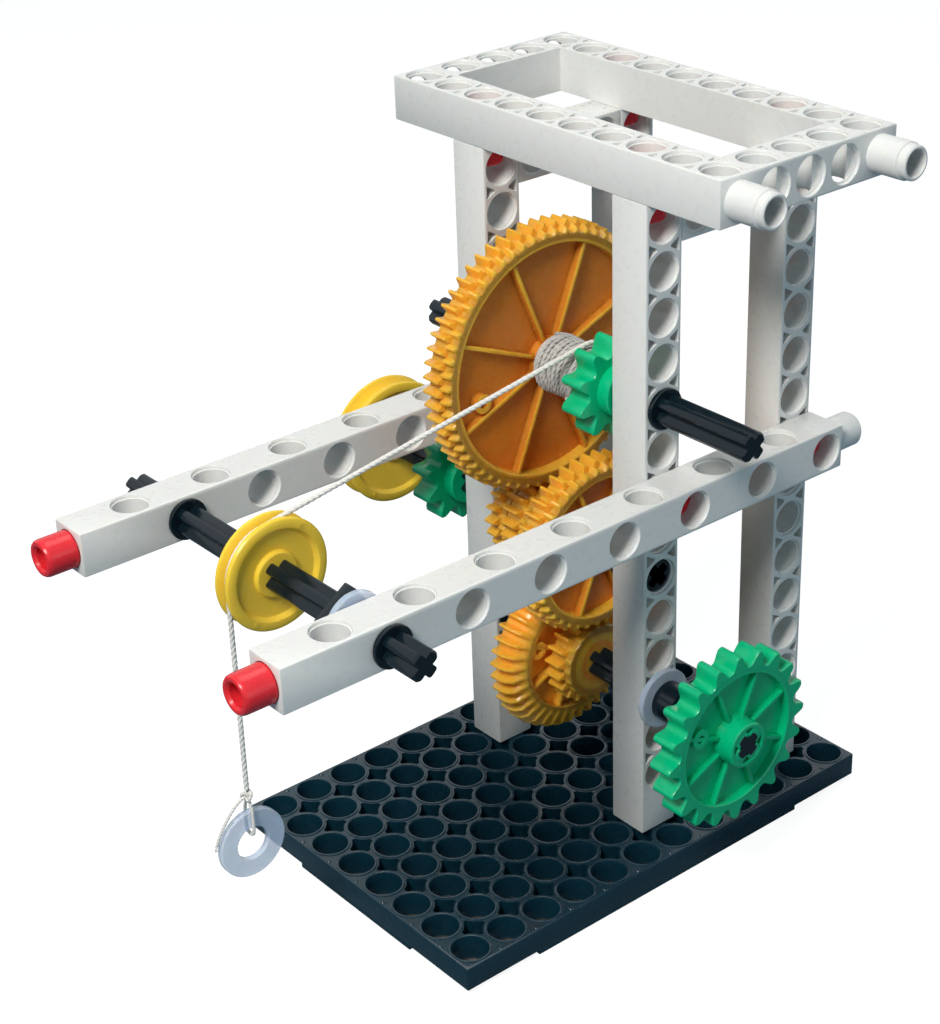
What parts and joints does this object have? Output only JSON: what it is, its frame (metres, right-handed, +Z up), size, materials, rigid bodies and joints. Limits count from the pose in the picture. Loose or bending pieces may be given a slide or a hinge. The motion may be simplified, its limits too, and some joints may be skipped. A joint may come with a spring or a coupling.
{
  "type": "pulley demonstrator",
  "caption": "Classroom hoist from a construction kit: cross shafts with gears and sprockets on a hole-grid stand wind a string that runs over a pulley on long arms and lifts a ring weight.",
  "frame": {"origin": "centre of the base plate, at the level of the table it stands on", "axes": "+Z up, +X from the arm tips and the hanging weight to the rear, +Y to the side with the large pulley, away from the hand wheel"},
  "size_m": [0.1676, 0.1305, 0.167],
  "materials": {
    "base_plastic": "dark slate moulded plastic, satin",
    "beam_plastic": "warm light grey moulded plastic, satin gloss",
    "pin_plastic": "red moulded plastic",
    "axle_plastic": "black moulded plastic",
    "gear_plastic": "amber moulded plastic, slightly translucent",
    "sprocket_plastic": "green moulded plastic",
    "pulley_plastic": "yellow moulded plastic",
    "washer_plastic": "bluish white moulded plastic, slightly translucent",
    "string_thread": "twisted cotton string"
  },
  "bodies": {
    "stand": {"base_plate": "base_plastic", "post_front_right": "beam_plastic", "foot_pin_front_right": "pin_plastic", "frame_pin_front_right": "pin_plastic", "arm_pin_front_right": "pin_plastic", "post_front_left": "beam_plastic", "foot_pin_front_left": "pin_plastic", "frame_pin_front_left": "pin_plastic", "arm_pin_front_left": "pin_plastic", "post_rear_right": "beam_plastic", "foot_pin_rear_right": "pin_plastic", "frame_pin_rear_right": "pin_plastic", "arm_pin_rear_right": "pin_plastic", "post_rear_left": "beam_plastic", "foot_pin_rear_left": "pin_plastic", "frame_pin_rear_left": "pin_plastic", "arm_pin_rear_left": "pin_plastic", "top_frame": "beam_plastic", "arm_right": "beam_plastic", "tie_right": "beam_plastic", "tip_pin_right": "pin_plastic", "arm_left": "beam_plastic", "tie_left": "beam_plastic", "tip_pin_left": "pin_plastic", "string_run": "string_thread"},
    "winch_shaft": {"winch_axle": "axle_plastic", "winch_bush_right": "axle_plastic", "winch_bush_left": "axle_plastic", "winch_gear": "gear_plastic", "winch_sprocket": "sprocket_plastic", "string_core": "string_thread", "string_winding": "string_thread"},
    "middle_shaft": {"lay_axle": "axle_plastic", "lay_bush_right": "axle_plastic", "lay_bush_left": "axle_plastic", "lay_pinion": "gear_plastic", "lay_pinion_rear": "gear_plastic", "lay_gear": "gear_plastic", "lay_sprocket": "sprocket_plastic", "lay_pulley": "pulley_plastic"},
    "crank_shaft": {"crank_axle": "axle_plastic", "crank_bush_right": "axle_plastic", "crank_bush_left": "axle_plastic", "crank_gear": "gear_plastic", "crank_pinion": "gear_plastic", "crank_washer": "washer_plastic", "crank_collar": "axle_plastic", "hand_wheel": "sprocket_plastic"},
    "pulley_shaft": {"front_axle": "axle_plastic", "front_bush_right": "axle_plastic", "front_bush_left": "axle_plastic", "front_pulley": "pulley_plastic", "front_washer": "washer_plastic", "front_stop": "axle_plastic"},
    "weight": {"string_drop": "string_thread", "weight_ring": "washer_plastic", "weight_knot": "string_thread"}
  },
  "joints": [
    {"name": "winch_turn", "type": "hinge", "parent": "stand", "child": "winch_shaft", "pos_m": [0.005, 0, 0.112], "axis": [0, 1, 0], "range_deg": [-140, 165]},
    {"name": "middle_turn", "type": "hinge", "parent": "stand", "child": "middle_shaft", "pos_m": [0.005, 0, 0.072], "axis": [0, 1, 0], "range_deg": [-495.5, 420.5]},
    {"name": "crank_turn", "type": "hinge", "parent": "stand", "child": "crank_shaft", "pos_m": [0.005, 0, 0.042], "axis": [0, 1, 0], "range_deg": [-840.5, 990.5]},
    {"name": "pulley_turn", "type": "hinge", "parent": "stand", "child": "pulley_shaft", "pos_m": [-0.075, 0, 0.092], "axis": [0, 1, 0], "range_deg": [-99.56, 117.25]},
    {"name": "weight_lift", "type": "slide", "parent": "stand", "child": "weight", "axis": [0, 0, 1], "range_m": [-0.01853, 0.0218], "deforming": ["string_drop"]}
  ],
  "couplings": [
    {"joint": "middle_turn", "follows": "winch_turn", "ratio": -3},
    {"joint": "crank_turn", "follows": "winch_turn", "ratio": 6},
    {"joint": "pulley_turn", "follows": "winch_turn", "ratio": 0.70755},
    {"joint": "weight_lift", "follows": "winch_turn", "m_per_rad": 0.0075}
  ]
}
